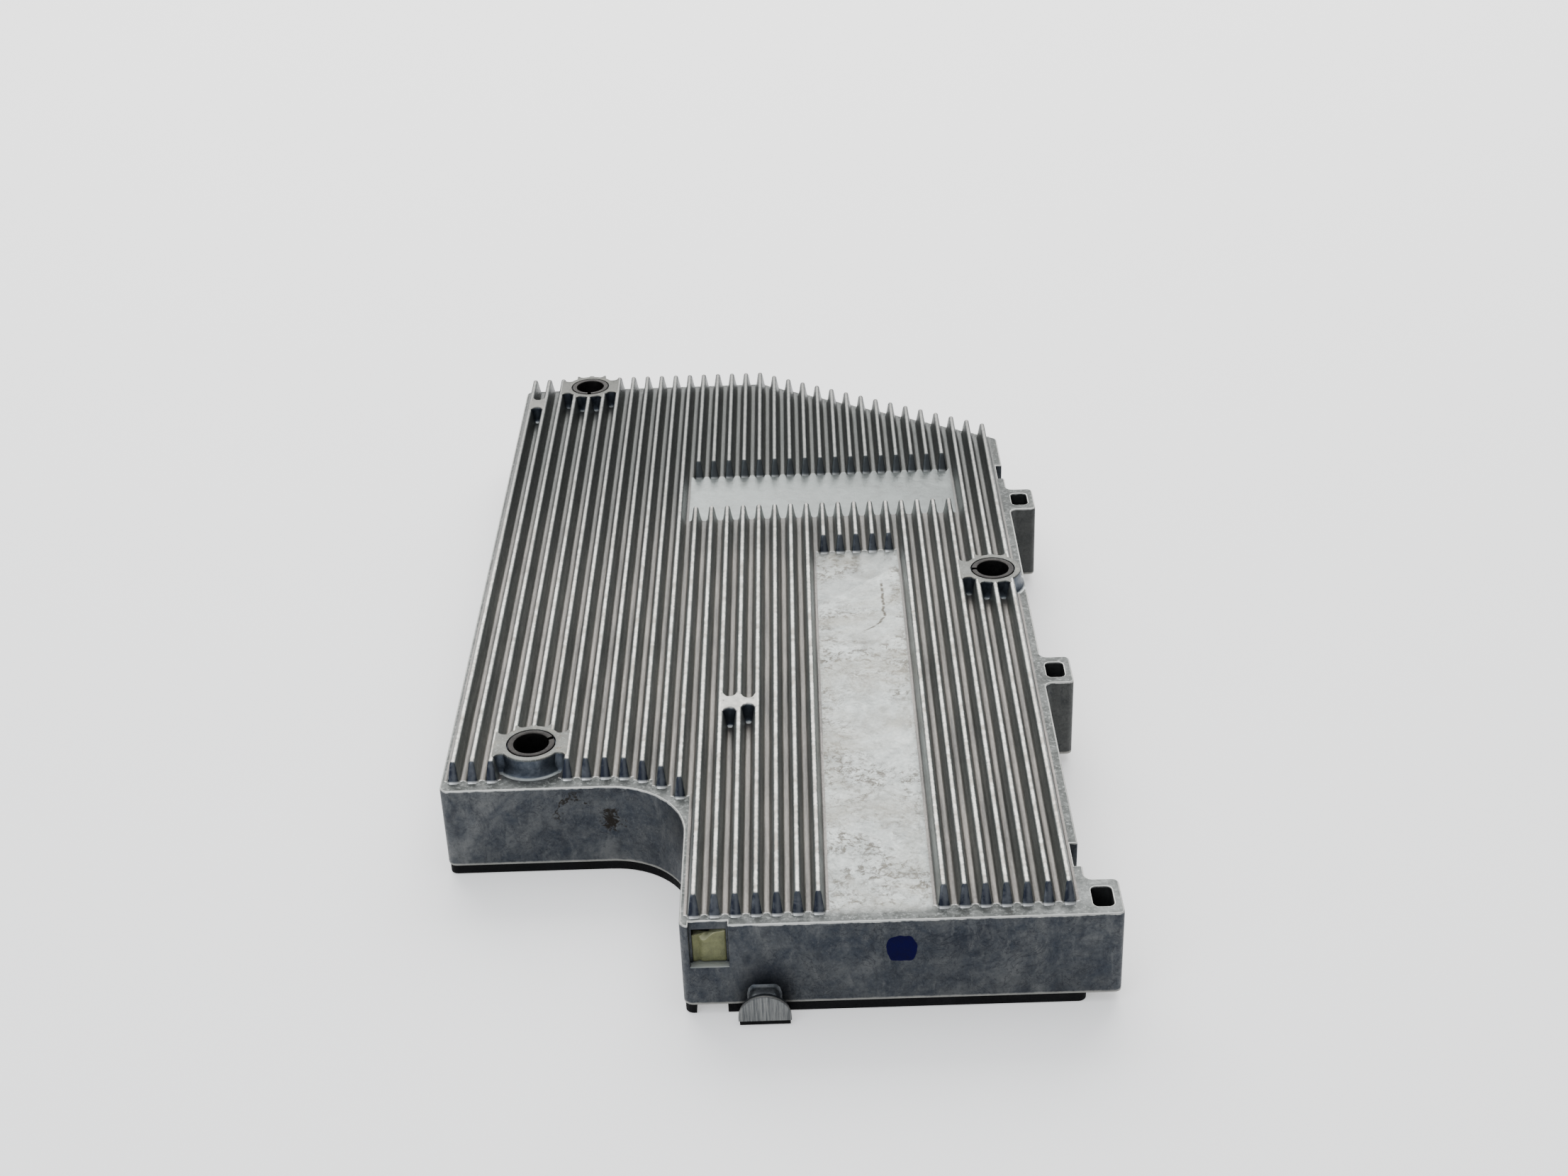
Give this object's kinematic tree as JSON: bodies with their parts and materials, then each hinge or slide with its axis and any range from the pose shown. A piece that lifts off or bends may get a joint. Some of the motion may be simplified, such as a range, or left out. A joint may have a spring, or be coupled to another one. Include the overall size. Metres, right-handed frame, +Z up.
{
  "type": "micro inverter",
  "caption": "Flat finned die-cast inverter housing with stepped corner, slit bolt bushes, tie ears, black bottom cover and a full power board inside.",
  "frame": {"origin": "centre of the bounding box on the plane that the bottom cover rests on", "axes": "+Y along the fins to the straight rear edge, +X across the fins to the tie ears, +Z up out of the fins"},
  "size_m": [0.1542, 0.2824, 0.0289],
  "materials": {
    "cast_aluminium": "as cast, shot blasted, slightly stained",
    "bush_steel": "rolled, dull",
    "cover_black": "satin black",
    "seal_rubber": "matt",
    "screw_steel": "zinc plated",
    "plug_foam": "soft, matt olive",
    "board_green": "solder mask",
    "socket_black": "moulded",
    "contact_metal": "plated",
    "ferrite": "ground ferrite",
    "bobbin_plastic": "moulded",
    "copper_wire": "enamelled",
    "thermal_pad": "soft",
    "chip_black": "moulded epoxy",
    "spring_steel": "bright",
    "capacitor_sleeve": "shrink sleeve",
    "film_box": "moulded box",
    "relay_case": "moulded case",
    "ceramic": "ceramic tube",
    "varistor_blue": "dipped coating"
  },
  "bodies": {
    "root": {"cast_housing": "cast_aluminium", "bush_front_left": "bush_steel", "bush_rear_left": "bush_steel", "bush_right": "bush_steel", "bottom_cover": "cover_black", "cover_seal": "seal_rubber", "cover_screws": "screw_steel", "front_window_plug": "plug_foam", "right_front_window_plug": "plug_foam", "right_rear_window_plug": "plug_foam", "circuit_board": "board_green", "board_screws": "screw_steel", "dc_socket": "socket_black", "dc_pins": "contact_metal", "ac_socket": "socket_black", "ac_pins": "contact_metal", "transformer_core_lower": "ferrite", "transformer_core_upper": "ferrite", "transformer_bobbin": "bobbin_plastic", "transformer_winding": "copper_wire", "transformer_pad": "thermal_pad", "power_transistors": "chip_black", "transistor_pads": "thermal_pad", "transistor_clips": "spring_steel", "clip_screws": "screw_steel", "input_capacitors": "capacitor_sleeve", "film_capacitors": "film_box", "filter_choke_core": "ferrite", "filter_choke_windings": "copper_wire", "output_inductor_core": "ferrite", "output_inductor_winding": "copper_wire", "grid_relays": "relay_case", "fuse": "ceramic", "fuse_clips": "spring_steel", "varistor": "varistor_blue", "control_chips": "chip_black"}
  },
  "joints": []
}
